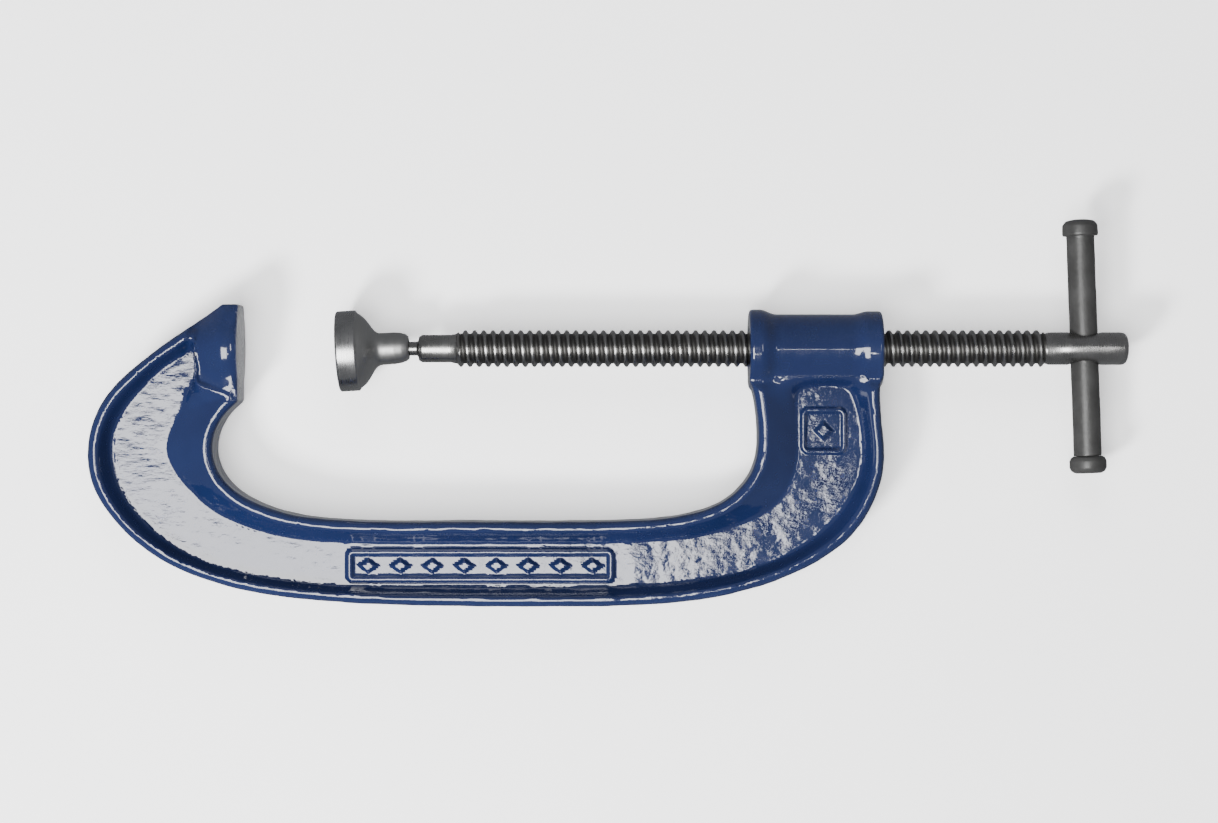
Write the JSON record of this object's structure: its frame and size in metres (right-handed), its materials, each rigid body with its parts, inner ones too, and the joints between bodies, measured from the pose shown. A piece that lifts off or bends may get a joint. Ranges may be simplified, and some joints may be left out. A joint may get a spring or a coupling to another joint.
{
  "type": "c-clamp",
  "caption": "C-clamp (G-clamp) with a cast I-section frame, right-hand clamping screw, swivel pad on a ball and sliding tommy bar.",
  "frame": {"origin": "centre of the anvil's working face, on the axis of the screw", "axes": "+X along the screw from the anvil to the handle, +Y from the spine of the frame towards the screw, +Z out of the plane of the frame; the clamp lies flat"},
  "size_m": [0.3568, 0.1333, 0.0278],
  "materials": {
    "blue_enamel": "gloss enamel over an as-cast surface",
    "turned_steel": "turned, lightly oiled",
    "pad_steel": "turned rim, matt forged flare",
    "spring_steel": "plain spring wire",
    "black_steel": "oil-blackened"
  },
  "bodies": {
    "frame": {"frame": "blue_enamel"},
    "screw_carrier": {"pad_retaining_ring": "spring_steel"},
    "screw": {"screw": "turned_steel"},
    "pad": {"swivel_pad": "pad_steel"},
    "bar": {"tommy_bar": "black_steel", "tommy_bar_end_cap": "black_steel"}
  },
  "joints": [
    {"name": "screw_feed", "type": "slide", "parent": "frame", "child": "screw_carrier", "axis": [-1, 0, 0], "range_m": [-0.116, 0.0313]},
    {"name": "screw_turn", "type": "hinge", "parent": "screw_carrier", "child": "screw", "pos_m": [0.0505, 0, 0], "axis": [-1, 0, 0], "range_deg": [-13155, 3550]},
    {"name": "pad_tilt", "type": "hinge", "parent": "screw_carrier", "child": "pad", "pos_m": [0.0505, 0, 0], "axis": [0, 0, 1], "range_deg": [-10.5, 3.5]},
    {"name": "bar_slide", "type": "slide", "parent": "screw", "child": "bar", "axis": [-0.0349, 0.9994, 0], "range_m": [-0.0328, 0.031]}
  ],
  "couplings": [
    {"joint": "screw_turn", "follows": "screw_feed", "rad_per_m": 1979}
  ]
}
